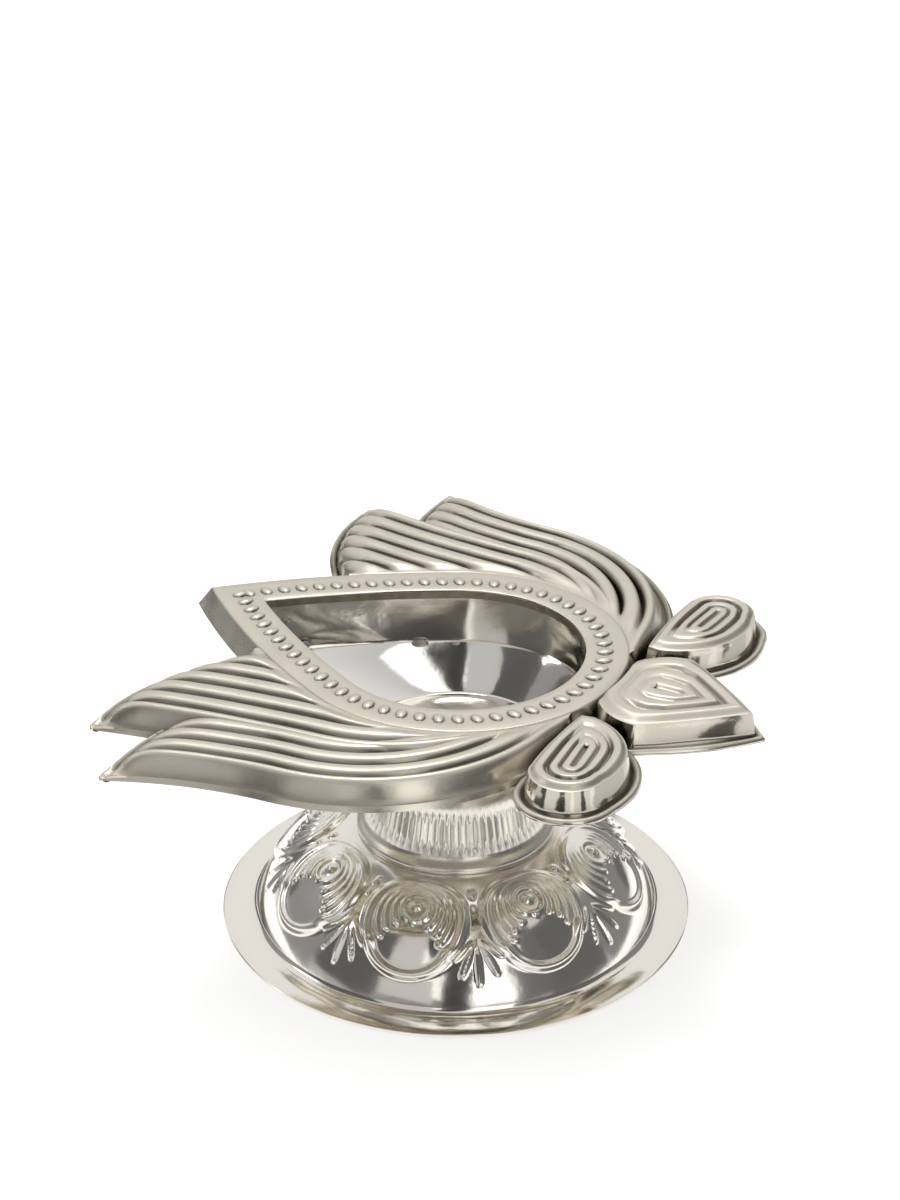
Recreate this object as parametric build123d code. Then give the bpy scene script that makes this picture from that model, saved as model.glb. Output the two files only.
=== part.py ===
from build123d import *
import os
from math import acos, asin, atan2, cos, degrees, hypot, pi, radians, sin, sqrt

# Lotus oil lamp in pressed and soldered sheet metal, in millimetres.
# Origin: centre of the foot's underside. +Z is up, the bowl's pointed lip is at -X, the sepals at +X.
# The lamp is symmetrical about the XZ plane, so the right side is the left side mirrored.

# Sheet and solder
SHEET = 0.6
SOLDER_LEG = 0.7
SOLDER_TOE = 0.15
FIT_GAP = 0.05

# Foot dome
FOOT_RADIUS = 30.0
DOME_RADIUS = 25.8
DOME_BULGE = 2.1
LAND_RADIUS = 13.2
LAND_HEIGHT = 11.9
FOOT_HOLE_RADIUS = 9.0
DOME_STEPS = 5

# Repousse medallions: two rings round a field, with a mirror disc in its lower half and a boss above it
MEDALLIONS = 8
MEDALLION_PHASE = 12.0
MEDALLION_FROM_LAND = 8.0
MEDALLION_ROOT = 0.2
RING_RADIUS = 6.1
RING_WIDTH = 1.5
RING_RISE = 0.5
INNER_RING_RADIUS = 4.8
INNER_RING_WIDTH = 1.3
INNER_RING_RISE = 0.8
FIELD_RISE = 0.35
MIRROR_RADIUS = 2.6
MIRROR_RISE = 0.4
MIRROR_DOWN = 1.3
BOSS_RADIUS = 1.1
BOSS_RISE = 0.6
BOSS_UP = 2.7

# Fluted neck collar
COLLAR_RADIUS = 12.6
COLLAR_RING_HEIGHT = 0.9
FLUTE_BASE_RADIUS = 11.4
FLUTE_BASE_HEIGHT = 1.7
FLUTE_TOP_RADIUS = 10.0
FLUTE_TOP_HEIGHT = 7.6
COLLAR_TOP_RADIUS = 11.6
COLLAR_HEIGHT = 11.5
FLUTES = 68
FLUTE_DEPTH = 0.35
COLLAR_WALL = 0.9
COLLAR_FOOTING = 1.2

# Bowl: teardrop mouth with a round end on the neck's axis
MOUTH_RADIUS = 15.5
MOUTH_CENTRE_X = 0.4
MOUTH_TIP_X = -27.2
MOUTH_SIDE_RADIUS = 110.0
DISH_DEPTH = 5.5
WALL_HEIGHT = 7.1
FLOOR_RADIUS = 12.0

# Lotus shell: beaded deck round the bowl's mouth
DECK_WIDTH = 5.3
DECK_DRAFT = 1.5
DECK_RISE = 2.3
LIP_DROP = 1.2
BEAD_LINE = 2.4
BEAD_PITCH = 2.25
BEAD_LENGTH = 1.9
BEAD_WIDTH = 1.2
BEAD_HEIGHT = 0.4
GROOVE_WIDTH = 3.0
GROOVE_DROP = 1.7
FLANGE_WIDTH = 1.7

# Wing petals: parallel ribs bend one way to the root beside the sepals and flare the other way to the end
BEND_X = -4.0
BEND_LEAN = 3.0
CREST_RISE = 0.4
RIB_DEPTH = 1.2
CREST_SHARE = 0.4
WING_REACH = 46.0
PETAL_LAP = 2.0
ROOT_X = 19.4
ROOT_Y = -8.0
INNER_EDGE_Y = -29.0
INNER_FORE_RADIUS = 22.8
INNER_BACK_RADIUS = 150.0
INNER_RIBS = 5
INNER_PITCH = 3.0
INNER_END_X = -30.0
SHOULDER = ((-30.0, -20.0), (-27.8, -13.8), (-22.0, -6.0))
OUTER_EDGE_Y = -37.2
OUTER_FORE_RADIUS = 25.8
OUTER_BACK_RADIUS = 52.0
OUTER_RIBS = 3
OUTER_PITCH = 2.7
OUTER_END_X = -22.4

# Sepals: a pointed one in the middle and a blunt one at each side, whose points lie along its own axis
MIDDLE_ROOT = (20.8, -4.6)
MIDDLE_HAUNCH = (23.4, -8.0)
MIDDLE_WIDEST = (27.5, -9.4)
MIDDLE_FLANK = (33.6, -5.2)
MIDDLE_TIP_X = 39.4
SIDE_ROOT = (22.0, -9.0)
SIDE_BEARING = 80.0
SIDE_ROOT_HALF = 0.8
SIDE_INNER_MID = (7.5, -2.9)
SIDE_INNER_END = (14.0, -3.7)
SIDE_TIP = (18.3, 0.8)
SIDE_OUTER_END = (14.5, 6.0)
SIDE_OUTER_MID = (8.0, 7.2)
SEPAL_RISE = 0.5
RIDGE_RISE = 0.9
RIDGE_WIDTH = 1.3
RIDGE_INSET = 0.6
SCROLL_INSET = 2.9
DASH_LENGTH = 2.6
DASH_WIDTH = 0.9

# Levels, worked up from the table
COLLAR_TOP = LAND_HEIGHT + COLLAR_HEIGHT
FLOOR_Z = COLLAR_TOP + SHEET
DISH_TOP = FLOOR_Z + DISH_DEPTH
DECK_UNDER = DISH_TOP + WALL_HEIGHT
DECK_TOP = DECK_UNDER + SHEET
FLANGE_TOP = DECK_TOP - DECK_RISE
FLANGE_UNDER = FLANGE_TOP - SHEET
CREST = DECK_TOP + CREST_RISE
VALLEY = CREST - RIB_DEPTH
GROOVE_TOP = DECK_TOP - GROOVE_DROP
SEPAL_TOP = DECK_TOP + SEPAL_RISE


def ring_solid(points):
    """A closed (radius, height) outline turned about the Z axis."""
    return revolve(Plane.XZ * make_face(Polyline(*points, close=True)), Axis.Z)


# Teardrop outline of the bowl's mouth, grown outward by a given amount
SIDE_REACH = MOUTH_SIDE_RADIUS - MOUTH_RADIUS
TIP_REACH = MOUTH_CENTRE_X - MOUTH_TIP_X
TURN = acos(
    (MOUTH_SIDE_RADIUS**2 - TIP_REACH**2 - SIDE_REACH**2) / (2 * TIP_REACH * SIDE_REACH)
)


def teardrop_points(grow):
    """The pointed tip, the upper side's middle, where that side meets the round end, and the far end."""
    centre_x = MOUTH_CENTRE_X + SIDE_REACH * cos(TURN)
    centre_y = -SIDE_REACH * sin(TURN)
    side = MOUTH_SIDE_RADIUS + grow
    tip = (centre_x - sqrt(side**2 - centre_y**2), 0)
    tip_turn = asin(-centre_y / side)
    mid_turn = (TURN + tip_turn) / 2
    middle = (centre_x - side * cos(mid_turn), centre_y + side * sin(mid_turn))
    end = MOUTH_RADIUS + grow
    meet = (MOUTH_CENTRE_X - end * cos(TURN), end * sin(TURN))
    over = (pi - TURN) / 2
    shoulder = (MOUTH_CENTRE_X + end * cos(over), end * sin(over))
    far = (MOUTH_CENTRE_X + end, 0)
    return tip, middle, meet, shoulder, far


def across(point):
    """The same point on the other side of the lamp."""
    return (point[0], -point[1])


def teardrop_edges(grow):
    """The outline as four arcs, in order from the tip round the far end and back."""
    tip, middle, meet, shoulder, far = teardrop_points(grow)
    return [
        ThreePointArc(tip, across(middle), across(meet)),
        ThreePointArc(across(meet), across(shoulder), far),
        ThreePointArc(far, shoulder, meet),
        ThreePointArc(meet, middle, tip),
    ]


def teardrop_face(grow):
    return make_face(teardrop_edges(grow))


def teardrop_band(inner, outer, low, high):
    """A teardrop wall between two growths and two heights."""
    face = teardrop_face(outer) - teardrop_face(inner)
    return extrude(Pos(0, 0, low) * face, high - low)


# Foot dome: the dome follows one arc from the flange up to the land that carries the collar
DOME_CHORD = hypot(DOME_RADIUS - LAND_RADIUS, LAND_HEIGHT - SHEET)
DOME_ARC = (DOME_CHORD**2 / 4 + DOME_BULGE**2) / (2 * DOME_BULGE)
DOME_LEAN = atan2(LAND_HEIGHT - SHEET, DOME_RADIUS - LAND_RADIUS)
ARC_CENTRE_R = (DOME_RADIUS + LAND_RADIUS) / 2 - (DOME_ARC - DOME_BULGE) * sin(DOME_LEAN)
ARC_CENTRE_Z = (LAND_HEIGHT + SHEET) / 2 - (DOME_ARC - DOME_BULGE) * cos(DOME_LEAN)


def dome_at(height, grow=0.0):
    """Radius of the dome's surface, grown along its normal, at a height."""
    return ARC_CENTRE_R + sqrt((DOME_ARC + grow) ** 2 - (height - ARC_CENTRE_Z) ** 2)


def dome_side(low, high, grow):
    """The dome's curve between two heights, in straight steps."""
    heights = [low + (high - low) * step / DOME_STEPS for step in range(DOME_STEPS + 1)]
    return [(dome_at(height, grow), height) for height in heights]


def dome_outline():
    """Section of the foot's sheet: flange, dome and the land under the collar."""
    under = LAND_HEIGHT - SHEET
    outside = dome_side(SHEET, LAND_HEIGHT, 0)
    inside = dome_side(0, under, -SHEET)
    rim = [(FOOT_RADIUS, 0), (FOOT_RADIUS, SHEET)]
    land = [(FOOT_HOLE_RADIUS, LAND_HEIGHT), (FOOT_HOLE_RADIUS, under)]
    return make_face(Polyline(*rim, *outside, *land, *reversed(inside), close=True))


def dome_core(grow):
    """Everything inside the dome's surface, grown along its normal."""
    side = dome_side(0, LAND_HEIGHT, grow)
    return ring_solid([(0, 0), *side, (0, LAND_HEIGHT)])


def on_dome(from_land):
    """A plane on the dome over the X axis, its normal outward and its Y axis up the slope."""
    start = atan2(LAND_HEIGHT - ARC_CENTRE_Z, LAND_RADIUS - ARC_CENTRE_R)
    turn = start - from_land / DOME_ARC
    spot = (ARC_CENTRE_R + DOME_ARC * cos(turn), 0, ARC_CENTRE_Z + DOME_ARC * sin(turn))
    return Plane(origin=spot, x_dir=(0, 1, 0), z_dir=(cos(turn), 0, sin(turn)))


def dome_sag(radius):
    """How far the dome falls away below a medallion's middle at this distance from it."""
    return radius**2 / (2 * DOME_ARC)


def medallion():
    """Two raised rings about a field that carries a mirror disc and a small boss, on the local XY plane."""
    hem = RING_RADIUS + RING_WIDTH / 2
    valley = (RING_RADIUS + INNER_RING_RADIUS) / 2
    field = INNER_RING_RADIUS - INNER_RING_WIDTH / 2
    field_level = FIELD_RISE - dome_sag(field)
    depth = dome_sag(hem) + MEDALLION_ROOT
    plate = ring_solid(
        [
            (0, -depth),
            (hem, -depth),
            (RING_RADIUS, RING_RISE - dome_sag(RING_RADIUS)),
            (valley, -dome_sag(valley)),
            (INNER_RING_RADIUS, INNER_RING_RISE - dome_sag(INNER_RING_RADIUS)),
            (field, field_level),
            (0, field_level),
        ]
    )
    on_field = (Align.CENTER, Align.CENTER, Align.MIN)
    mirror = Cone(MIRROR_RADIUS, MIRROR_RADIUS - MIRROR_RISE, MIRROR_RISE, align=on_field)
    boss = Cone(BOSS_RADIUS, BOSS_RADIUS / 2, BOSS_RISE, align=on_field)
    return plate + [Pos(0, -MIRROR_DOWN, field_level) * mirror, Pos(0, BOSS_UP, field_level) * boss]


def foot_dome():
    """One medallion's share of the dome, repeated round the axis."""
    share = 360 / MEDALLIONS
    core = dome_core(-MEDALLION_ROOT)
    seat = on_dome(MEDALLION_FROM_LAND).location
    sector = Rot(0, 0, -share / 2) * revolve(Plane.XZ * dome_outline(), Axis.Z, share)
    sector += seat * medallion() - core
    turns = [Rot(0, 0, MEDALLION_PHASE + step * share) for step in range(MEDALLIONS)]
    return turns[0] * sector + [turn * sector for turn in turns[1:]]


def flute_section(radius, height):
    """A star whose points are the ridges between the flutes."""
    corners = []
    for step in range(2 * FLUTES):
        reach = radius - FLUTE_DEPTH * (step % 2)
        turn = pi * step / FLUTES
        corners.append((reach * cos(turn), reach * sin(turn)))
    return Pos(0, 0, height) * make_face(Polyline(*corners, close=True))


def neck_collar():
    """A trumpet with a plain ring at its foot, a fluted band and a plain flared top."""
    base = LAND_HEIGHT
    flute_base = base + FLUTE_BASE_HEIGHT
    flute_top = base + FLUTE_TOP_HEIGHT
    bore = [
        (0, base),
        (COLLAR_RADIUS - COLLAR_FOOTING, base),
        (FLUTE_BASE_RADIUS - COLLAR_WALL, flute_base),
        (FLUTE_TOP_RADIUS - COLLAR_WALL, flute_top),
        (COLLAR_TOP_RADIUS - COLLAR_WALL, COLLAR_TOP),
        (0, COLLAR_TOP),
    ]
    ring = [
        (0, base),
        (COLLAR_RADIUS, base),
        (COLLAR_RADIUS, base + COLLAR_RING_HEIGHT),
        (FLUTE_BASE_RADIUS, flute_base),
        (0, flute_base),
    ]
    flare = [(0, flute_top), (FLUTE_TOP_RADIUS, flute_top), (COLLAR_TOP_RADIUS, COLLAR_TOP), (0, COLLAR_TOP)]
    ends = [flute_section(FLUTE_BASE_RADIUS, flute_base), flute_section(FLUTE_TOP_RADIUS, flute_top)]
    return loft(ends, ruled=True) + [ring_solid(ring), ring_solid(flare)] - ring_solid(bore)


def dish_wires(grow, drop):
    """Teardrop at the top and circle at the floor, with matching corners, for a ruled loft."""
    tip, middle, meet, shoulder, far = teardrop_points(FIT_GAP + SHEET + grow)
    bearing = atan2(meet[1], meet[0])
    radius = FLOOR_RADIUS + grow
    spots = []
    for turn in (pi, (pi + bearing) / 2, bearing, bearing / 2, 0):
        spots.append((radius * cos(turn), radius * sin(turn)))
    top = [ThreePointArc(tip, middle, meet), ThreePointArc(meet, shoulder, far)]
    floor = [ThreePointArc(*spots[0:3]), ThreePointArc(*spots[2:5])]
    faces = []
    for edges, height in ((top, DISH_TOP), (floor, FLOOR_Z - drop)):
        both = edges + [mirror(edge, about=Plane.XZ) for edge in edges]
        faces.append(Pos(0, 0, height) * make_face(both))
    return faces


def bowl_dish():
    outside = loft(dish_wires(SHEET, SHEET), ruled=True)
    inside = loft(dish_wires(0, 0), ruled=True)
    return outside - inside


def bowl_wall():
    inner = SHEET + FIT_GAP
    return teardrop_band(inner, inner + SHEET, DISH_TOP, DECK_UNDER)


def mirrored(shapes):
    return shapes + [mirror(shape, about=Plane.XZ) for shape in shapes]


def rib_outline(ribs, pitch, drop):
    """Section across a petal's ribs: (distance in from the outer edge, height), lowered by a drop."""
    half_crest = CREST_SHARE * pitch / 2
    points = [(0, VALLEY - drop)]
    for rib in range(ribs):
        middle = (rib + 0.5) * pitch
        points += [(middle - half_crest, CREST - drop), (middle + half_crest, CREST - drop)]
        points.append(((rib + 1) * pitch, VALLEY - drop))
    return points


def along_wing(section, edge_y, fore_radius, back_radius):
    """A section carried along a petal: one way round to the root, the other way out to the end."""
    lean = radians(BEND_LEAN)
    inward = Vector(-sin(lean), cos(lean))
    bend = Vector(BEND_X, edge_y)
    swept = []
    for radius, side in ((fore_radius, 1), (back_radius, -1)):
        centre = bend + inward * (radius * side)
        outward = inward * -side
        plane = Plane(centre, x_dir=outward, z_dir=outward.cross(Vector(0, 0, 1)))
        corners = [(radius - side * inset, height) for inset, height in section]
        reach = degrees(WING_REACH / radius)
        face = plane * make_face(Polyline(*corners, close=True))
        swept.append(revolve(face, Axis(centre, (0, 0, 1)), reach))
    return swept[0] + swept[1]


def petal(section, limit, size):
    """A section carried along a petal and trimmed to the petal's ends in plan."""
    prism = extrude(Pos(0, 0, FLANGE_UNDER) * limit, 2 * (CREST - FLANGE_UNDER))
    return along_wing(section, *size) & prism


def inner_limit():
    """Plan limits of the inner petal: square end, rounded shoulder by the deck, and the root."""
    shoulder = ThreePointArc(*SHOULDER)
    far_y = 2 * OUTER_EDGE_Y
    rest = Polyline(shoulder @ 1, (ROOT_X, ROOT_Y), (ROOT_X, far_y), (INNER_END_X, far_y), shoulder @ 0)
    return make_face([shoulder, rest])


def outer_limit():
    far_y = 2 * OUTER_EDGE_Y
    corners = [(OUTER_END_X, far_y), (ROOT_X, far_y), (ROOT_X, ROOT_Y), (OUTER_END_X, ROOT_Y)]
    return make_face(Polyline(*corners, close=True))


def wing_petals():
    """The left side's petals, as the blocks that stand and the hollows pressed up under them."""
    inner_size = (INNER_EDGE_Y, INNER_FORE_RADIUS, INNER_BACK_RADIUS)
    outer_size = (OUTER_EDGE_Y, OUTER_FORE_RADIUS, OUTER_BACK_RADIUS)
    blocks = []
    hollows = []
    for ribs, pitch, limit, size in (
        (INNER_RIBS, INNER_PITCH, inner_limit(), inner_size),
        (OUTER_RIBS, OUTER_PITCH, outer_limit(), outer_size),
    ):
        width = ribs * pitch + PETAL_LAP
        top = rib_outline(ribs, pitch, 0) + [(width, VALLEY)]
        under = rib_outline(ribs, pitch, SHEET)[1:] + [(width, VALLEY - SHEET)]
        blocks.append(petal(top + [(width, FLANGE_UNDER), (0, FLANGE_UNDER)], limit, size))
        space = [(SHEET, FLANGE_UNDER), (SHEET, VALLEY)] + under + [(width, FLANGE_UNDER)]
        hollows.append(petal(space, offset(limit, -SHEET), size))
        edge = -FLANGE_WIDTH
        lip = [(edge, FLANGE_UNDER), (edge, FLANGE_TOP), (width, FLANGE_TOP), (width, FLANGE_UNDER)]
        wide = offset(limit, FLANGE_WIDTH, kind=Kind.INTERSECTION)
        blocks.append(petal(lip, wide, size))
    return blocks, hollows


def middle_sepal_face():
    lower = [
        ThreePointArc(MIDDLE_ROOT, MIDDLE_HAUNCH, MIDDLE_WIDEST),
        ThreePointArc(MIDDLE_WIDEST, MIDDLE_FLANK, (MIDDLE_TIP_X, 0)),
    ]
    upper = [mirror(edge, about=Plane.XZ) for edge in lower]
    return make_face(lower + upper + [Line(lower[0] @ 0, upper[0] @ 0)])


def side_sepal_face():
    """The near side's sepal, drawn along X from its root and then turned into place."""
    inner = ThreePointArc((0, -SIDE_ROOT_HALF), SIDE_INNER_MID, SIDE_INNER_END)
    end = ThreePointArc(SIDE_INNER_END, SIDE_TIP, SIDE_OUTER_END)
    outer = ThreePointArc(SIDE_OUTER_END, SIDE_OUTER_MID, (0, SIDE_ROOT_HALF))
    face = make_face([inner, end, outer, Line(outer @ 1, inner @ 0)])
    return Pos(*SIDE_ROOT) * Rot(0, 0, -SIDE_BEARING) * face


def raised_plate(face, top):
    """A plateau of the pressing, as a block down to the flange's underside."""
    return extrude(Pos(0, 0, FLANGE_UNDER) * face, top - FLANGE_UNDER)


def hollow(face, top):
    """The space under a plateau, one sheet in from its walls and top."""
    return raised_plate(offset(face, -SHEET), top - SHEET)


def scroll_ridges(face, bearing):
    """A raised ridge inside a sepal's outline, a scroll within it and a dash at its heart."""
    ridges = []
    for inset in (RIDGE_INSET, SCROLL_INSET):
        ridges.append(offset(face, -inset) - offset(face, -inset - RIDGE_WIDTH))
    heart = face.center()
    ridges.append(Pos(heart.X, heart.Y) * Rot(0, 0, bearing) * Rectangle(DASH_LENGTH, DASH_WIDTH))
    rooted = RIDGE_RISE + SHEET / 2
    return [extrude(Pos(0, 0, SEPAL_TOP - SHEET / 2) * ridge, rooted) for ridge in ridges]


def beads():
    """Short bars across the deck, evenly spaced along a line round the mouth."""
    bars = []
    for edge in teardrop_edges(BEAD_LINE):
        count = round(edge.length / BEAD_PITCH)
        for step in range(count):
            share = (step + 0.5) / count
            spot = edge @ share
            along = edge % share
            turn = degrees(atan2(along.Y, along.X))
            bar = Rectangle(BEAD_WIDTH, BEAD_LENGTH)
            bars.append(Pos(spot.X, spot.Y, DECK_UNDER) * Rot(0, 0, turn) * bar)
    return [extrude(bar, SHEET + BEAD_HEIGHT) for bar in bars]


def deck_block(grow, top):
    """The beaded border's block, whose outer wall leans out towards the flange."""
    low = Pos(0, 0, FLANGE_UNDER) * teardrop_face(DECK_WIDTH + DECK_DRAFT + grow)
    high = Pos(0, 0, top) * teardrop_face(DECK_WIDTH + grow)
    return loft([low, high], ruled=True)


def lotus_shell():
    """Plateaus, ribbed petals and flange first, then the hollow underside, the mouth and its lip."""
    side = side_sepal_face()
    middle = middle_sepal_face()
    sepals = mirrored([side]) + [middle]
    groove = Pos(MOUTH_CENTRE_X, 0) * Circle(MOUTH_RADIUS + DECK_WIDTH + GROOVE_WIDTH)
    tall = 2 * (CREST - FLANGE_UNDER)
    over_deck = extrude(Pos(0, 0, VALLEY - SHEET) * teardrop_face(DECK_WIDTH), tall)
    petals, petal_hollows = wing_petals()
    body = mirrored([block - over_deck for block in petals])
    body += [raised_plate(offset(face, FLANGE_WIDTH, kind=Kind.INTERSECTION), FLANGE_TOP) for face in sepals]
    body += [raised_plate(face, SEPAL_TOP) for face in sepals] + [raised_plate(groove, GROOVE_TOP)]
    ridges = mirrored(scroll_ridges(side, -SIDE_BEARING)) + scroll_ridges(middle, 0)
    shell = deck_block(0, DECK_TOP) + body + ridges
    hollows = mirrored([space - over_deck for space in petal_hollows])
    hollows += [hollow(face, SEPAL_TOP) for face in sepals] + [hollow(groove, GROOVE_TOP)]
    shell -= hollows + [deck_block(-SHEET, DECK_UNDER)]
    lip = extrude(Pos(0, 0, DECK_TOP - LIP_DROP) * teardrop_face(SHEET), LIP_DROP - SHEET / 2)
    mouth = extrude(Pos(0, 0, FLANGE_UNDER) * teardrop_face(0), tall)
    return shell + [lip] + beads() - mouth


def deck_solder():
    """Fillet in the corner between the bowl wall's outside and the deck's underside."""
    wall = 2 * SHEET + FIT_GAP
    low = Pos(0, 0, DECK_UNDER - SOLDER_LEG) * teardrop_face(wall + SOLDER_TOE)
    high = Pos(0, 0, DECK_UNDER) * teardrop_face(wall + SOLDER_LEG)
    core = extrude(Pos(0, 0, DECK_UNDER - SOLDER_LEG) * teardrop_face(wall), SOLDER_LEG)
    return loft([low, high], ruled=True) - core


def dish_solder():
    """Bead round the outside of the seam between the bowl's wall and its dish."""
    wall = 2 * SHEET + FIT_GAP
    half = SOLDER_LEG / 2
    return teardrop_band(wall, wall + half, DISH_TOP - half, DISH_TOP + half)


def collar_solder():
    """Fillet in the corner between the collar's flared top and the dish's underside."""
    flare = (COLLAR_TOP_RADIUS - FLUTE_TOP_RADIUS) / (COLLAR_HEIGHT - FLUTE_TOP_HEIGHT)
    return ring_solid(
        [
            (COLLAR_TOP_RADIUS - flare * SOLDER_LEG, COLLAR_TOP - SOLDER_LEG),
            (COLLAR_TOP_RADIUS, COLLAR_TOP),
            (COLLAR_TOP_RADIUS + SOLDER_LEG, COLLAR_TOP),
        ]
    )


def foot_solder():
    """Fillet inside the neck, between the collar's base and the land of the foot."""
    base = COLLAR_RADIUS - COLLAR_FOOTING
    waist = FLUTE_BASE_RADIUS - COLLAR_WALL
    lean = (base - waist) / FLUTE_BASE_HEIGHT
    return ring_solid(
        [
            (base, LAND_HEIGHT),
            (base - lean * SOLDER_LEG, LAND_HEIGHT + SOLDER_LEG),
            (base - lean * SOLDER_LEG - SOLDER_LEG, LAND_HEIGHT),
        ]
    )


if __name__ == "__main__":
    os.makedirs("parts", exist_ok=True)
    pieces = {
        "lotus_shell": lotus_shell(),
        "bowl_wall": bowl_wall(),
        "bowl_dish": bowl_dish(),
        "neck_collar": neck_collar(),
        "foot_dome": foot_dome(),
        "solder_lotus_to_wall": deck_solder(),
        "solder_wall_to_dish": dish_solder(),
        "solder_dish_to_collar": collar_solder(),
        "solder_collar_to_foot": foot_solder(),
    }
    for name, piece in pieces.items():
        export_step(piece, os.path.join("parts", name + ".step"))
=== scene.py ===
# %% [markdown]
# # A lotus oil lamp in polished white metal
# The lamp is built from five pieces of sheet: a pressed lotus on top, a teardrop bowl in two pieces, a
# fluted neck and a domed foot. Solder seams hold them together and nothing moves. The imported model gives
# the size and place of every piece. Here each one gets its ornamented surface, and then its finish.

# %% Load the frame
from cmath import phase, rect
from itertools import chain
from math import acos, asin, atan2, cos, hypot, pi, radians, sin, sqrt, tan

import bmesh
import bpy
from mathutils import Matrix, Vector


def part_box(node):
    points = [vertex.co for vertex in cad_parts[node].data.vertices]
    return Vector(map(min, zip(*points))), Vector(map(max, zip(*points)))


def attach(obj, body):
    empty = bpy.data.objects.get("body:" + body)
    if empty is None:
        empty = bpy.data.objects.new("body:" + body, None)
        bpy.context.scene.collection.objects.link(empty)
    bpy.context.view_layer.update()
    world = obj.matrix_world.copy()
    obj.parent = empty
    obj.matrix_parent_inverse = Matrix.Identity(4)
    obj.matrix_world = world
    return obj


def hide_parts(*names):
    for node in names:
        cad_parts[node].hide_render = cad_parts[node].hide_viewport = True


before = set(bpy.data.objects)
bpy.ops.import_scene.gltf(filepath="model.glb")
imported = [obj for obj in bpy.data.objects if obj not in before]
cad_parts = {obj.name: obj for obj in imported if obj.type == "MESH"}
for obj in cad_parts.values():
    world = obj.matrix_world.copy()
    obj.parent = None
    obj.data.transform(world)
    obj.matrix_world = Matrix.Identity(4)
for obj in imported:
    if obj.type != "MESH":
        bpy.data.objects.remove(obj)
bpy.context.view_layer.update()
MM = 0.001

# %% [markdown]
# ## Camera
# Every later choice is judged through the camera, so it comes first. It stands in front and to the right,
# about thirty degrees up, and its long lens keeps the circles and petals in true proportion. A lens shift
# sets the lamp low in the picture without a tilt.

# %% Camera
VIEW_AZIMUTH = radians(27.46)
VIEW_ELEVATION = radians(30.58)
VIEW_DISTANCE = 326.6
AIM_HEIGHT = 20.0
LENS = 77.96
SHIFT_ACROSS = -0.0049
SHIFT_UP = 0.1395


def toward(azimuth, elevation):
    """A unit vector from the lamp to a bearing and a height round it."""
    level = cos(elevation)
    return Vector((sin(azimuth) * level, -cos(azimuth) * level, sin(elevation)))


back = toward(VIEW_AZIMUTH, VIEW_ELEVATION)
aim = Vector((0, 0, AIM_HEIGHT * MM))
bpy.ops.object.camera_add(location=aim + back * VIEW_DISTANCE * MM)
camera = bpy.context.object
camera.rotation_euler = back.to_track_quat("Z", "Y").to_euler()
camera.data.lens = LENS
camera.data.shift_x = SHIFT_ACROSS
camera.data.shift_y = SHIFT_UP
bpy.context.scene.camera = camera
print("camera at", [round(place / MM) for place in camera.location], "mm")

# %% [markdown]
# ## Two ways to start a piece
# Round pieces are turned: a line of points is extruded one by one and spun about the axis. Pieces whose
# outline isn't round are laid: a grid primitive has each row of its vertices put along a line of the
# piece, so rows can follow a rim, a rib or the edge of a sepal. Both are then welded where they meet.

# %% Helpers for modelling
WELD_REACH = 0.004


def mode(name):
    bpy.ops.object.mode_set(mode=name)


def deselect():
    bpy.ops.object.select_all(action="DESELECT")


def named(name):
    """Name the object that an operator has just added, and its mesh."""
    piece = bpy.context.object
    piece.name = name
    piece.data.name = name
    return piece


def weld():
    """Merge vertices that meet, and turn the faces outward."""
    mode("EDIT")
    bpy.ops.mesh.select_all(action="SELECT")
    bpy.ops.mesh.remove_doubles(threshold=WELD_REACH * MM)
    bpy.ops.mesh.normals_make_consistent(inside=False)
    mode("OBJECT")


def turned(name, profile, steps):
    """Extrude a closed line of (radius, height) points and spin it about the lamp's axis."""
    deselect()
    bpy.ops.mesh.primitive_plane_add(size=MM)
    piece = named(name)
    mode("EDIT")
    bpy.ops.mesh.merge(type="CENTER")
    points = [Vector((radius, 0, height)) * MM for radius, height in profile + profile[:1]]
    bpy.ops.transform.translate(value=points[0])
    for here, there in zip(points, points[1:]):
        bpy.ops.mesh.extrude_vertices_move(TRANSFORM_OT_translate={"value": there - here})
    bpy.ops.mesh.select_all(action="SELECT")
    bpy.ops.mesh.spin(steps=steps, angle=2 * pi, center=(0, 0, 0), axis=(0, 0, 1))
    weld()
    return piece


def laid(name, rows):
    """Add a grid and put each row of its vertices along a row of points, in millimetres."""
    deselect()
    columns = len(rows[0]) - 1
    bpy.ops.mesh.primitive_grid_add(x_subdivisions=columns, y_subdivisions=len(rows) - 1, size=1)
    piece = named(name)
    flat = [side * MM for point in chain.from_iterable(rows) for side in point]
    piece.data.vertices.foreach_set("co", flat)
    weld()
    return piece


def face_up(piece):
    """Turn an open sheet over if most of it faces down."""
    mode("EDIT")
    bpy.ops.mesh.select_mode(type="FACE")
    bpy.ops.mesh.select_all(action="SELECT")
    faces = bmesh.from_edit_mesh(piece.data).faces
    if sum(face.normal.z * face.calc_area() for face in faces) < 0:
        bpy.ops.mesh.flip_normals()
    bpy.ops.mesh.select_all(action="DESELECT")
    mode("OBJECT")


def thicken(piece, thickness):
    """Give the open sheet that was just laid its thickness, downward."""
    modifier = piece.modifiers.new("thickness", "SOLIDIFY")
    modifier.thickness = thickness * MM
    modifier.offset = -1
    bpy.ops.object.modifier_apply(modifier=modifier.name)


def smooth(piece, crease):
    """Shade smooth, but keep edges that turn by more than the crease, in degrees."""
    deselect()
    piece.select_set(True)
    bpy.context.view_layer.objects.active = piece
    bpy.ops.object.shade_smooth_by_angle(angle=radians(crease))


def joined(name, pieces):
    deselect()
    for piece in pieces:
        piece.select_set(True)
    bpy.context.view_layer.objects.active = pieces[0]
    bpy.ops.object.join()
    return named(name)


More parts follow.
